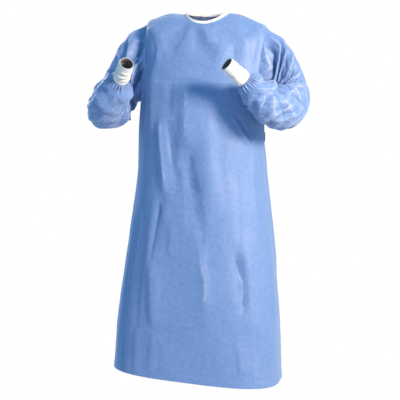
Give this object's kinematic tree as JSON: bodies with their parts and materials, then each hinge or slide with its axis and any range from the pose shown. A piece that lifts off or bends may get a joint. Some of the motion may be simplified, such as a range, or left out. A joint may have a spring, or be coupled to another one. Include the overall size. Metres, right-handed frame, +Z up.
{
  "type": "surgical gown",
  "caption": "Long-sleeved wrap-back surgical gown of thin non-woven cloth with knit cuffs and a bound round neck, shaped as worn with both forearms raised.",
  "frame": {"origin": "middle of the neck opening at the height where the gown lies on the shoulders beside the neck", "axes": "+Z up, -Y the way the front faces, +X towards the wearer's left"},
  "size_m": [0.7516, 0.4519, 1.2384],
  "materials": {
    "gown_cloth": "matt blue non-woven cloth with a fine embossed diagonal dot pattern",
    "knit": "white ribbed knit",
    "binding": "white folded tape, stitched"
  },
  "bodies": {
    "root": {"front_panel": "gown_cloth", "back_panel_left": "gown_cloth", "back_panel_right": "gown_cloth", "sleeve_left": "gown_cloth", "sleeve_right": "gown_cloth", "cuff_left": "knit", "cuff_right": "knit", "neck_binding": "binding", "tie_left": "gown_cloth", "tie_right": "gown_cloth", "tie_end_left": "gown_cloth", "tie_end_right": "gown_cloth", "tie_knot": "gown_cloth"}
  },
  "joints": []
}
